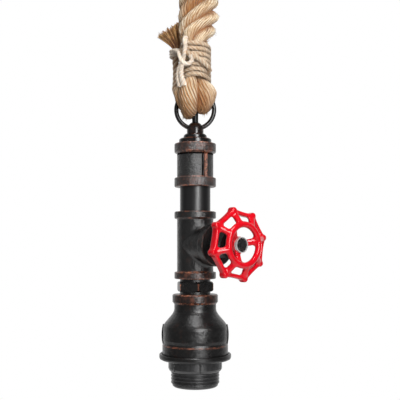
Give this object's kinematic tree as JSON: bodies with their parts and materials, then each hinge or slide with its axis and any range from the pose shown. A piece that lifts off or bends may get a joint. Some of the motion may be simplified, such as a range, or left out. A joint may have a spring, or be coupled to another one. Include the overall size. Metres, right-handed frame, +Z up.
{
  "type": "pipe pendant light",
  "caption": "Pendant light on a lashed hemp rope eye: black pipe fittings stacked above an open screw lamp socket, with a red valve handwheel on the side branch.",
  "frame": {"origin": "centre of the two ceiling screws, on the face of the mounting bar that lies against the ceiling", "axes": "+Z up towards the ceiling, the lamp hangs along -Z; +X along the tee's branch and the handwheel's axis; +Y completes the right-handed frame"},
  "size_m": [0.116, 0.1, 0.4003],
  "materials": {
    "canopy_black": "satin black powder coat",
    "zinc_steel": "zinc plated",
    "terminal_white": "moulded",
    "brass": "turned",
    "hemp": "laid hemp",
    "twine": "pale hemp twine",
    "dark_hemp": "brown hemp strand",
    "cable_black": "smooth sheath",
    "loop_black": "gloss black enamel",
    "iron_black": "blackened, rubbed to copper brown on the edges",
    "pipe_black": "satin black",
    "valve_black": "satin black",
    "spindle_steel": "turned",
    "wheel_red": "gloss red enamel",
    "socket_black": "moulded",
    "porcelain": "unglazed",
    "wire_brown": "insulated core",
    "wire_blue": "insulated core",
    "dish_black": "satin black"
  },
  "bodies": {
    "ceiling": {"ceiling_canopy": "canopy_black", "mounting_bar": "zinc_steel", "canopy_screws": "zinc_steel", "terminal_block": "terminal_white", "cap_nipple": "brass", "cap_nut": "brass", "rope_cap": "canopy_black", "cap_screws": "zinc_steel", "hemp_rope": "hemp", "supply_cable": "cable_black", "lashing": "twine", "rope_tail": "dark_hemp", "tail_whipping": "twine", "rope_brush": "dark_hemp"},
    "lamp": {"terminal_screws": "zinc_steel", "socket_stem": "brass", "stem_locknut": "brass", "screw_shell": "brass", "centre_contact": "brass", "lamp_cable": "cable_black", "hanging_loop": "loop_black", "top_bushing": "loop_black", "top_coupling": "iron_black", "pipe_tee": "iron_black", "hex_nipple": "iron_black", "bell_reducer": "iron_black", "pipe_nipple": "pipe_black", "valve_bonnet": "valve_black", "gland_nut": "valve_black", "socket_cap": "socket_black", "socket_body": "socket_black", "shell_insulator": "porcelain", "live_wire": "wire_brown", "neutral_wire": "wire_blue"},
    "wheel": {"valve_spindle": "spindle_steel", "spindle_clip": "spindle_steel", "handwheel": "wheel_red", "wheel_washer": "zinc_steel", "wheel_nut": "valve_black"},
    "dish": {"shade_dish": "dish_black"},
    "nut": {"ring_nut": "socket_black"}
  },
  "joints": [
    {"name": "lamp_swing", "type": "hinge", "parent": "ceiling", "child": "lamp", "pos_m": [0, 0, -0.141], "axis": [0.6494, 0.7604, 0], "range_deg": [-15, 15]},
    {"name": "handwheel_turn", "type": "hinge", "parent": "lamp", "child": "wheel", "pos_m": [0, 0, -0.2767], "axis": [1, 0, 0], "continuous": true},
    {"name": "dish_travel", "type": "slide", "parent": "lamp", "child": "dish", "axis": [0, 0, -1], "range_m": [0, 0.012]},
    {"name": "ring_nut_turn", "type": "hinge", "parent": "dish", "child": "nut", "pos_m": [0, 0, -0.381], "axis": [0, 0, -1], "range_deg": [0, 1490]}
  ],
  "couplings": [
    {"joint": "ring_nut_turn", "follows": "dish_travel", "rad_per_m": 2166.6}
  ]
}
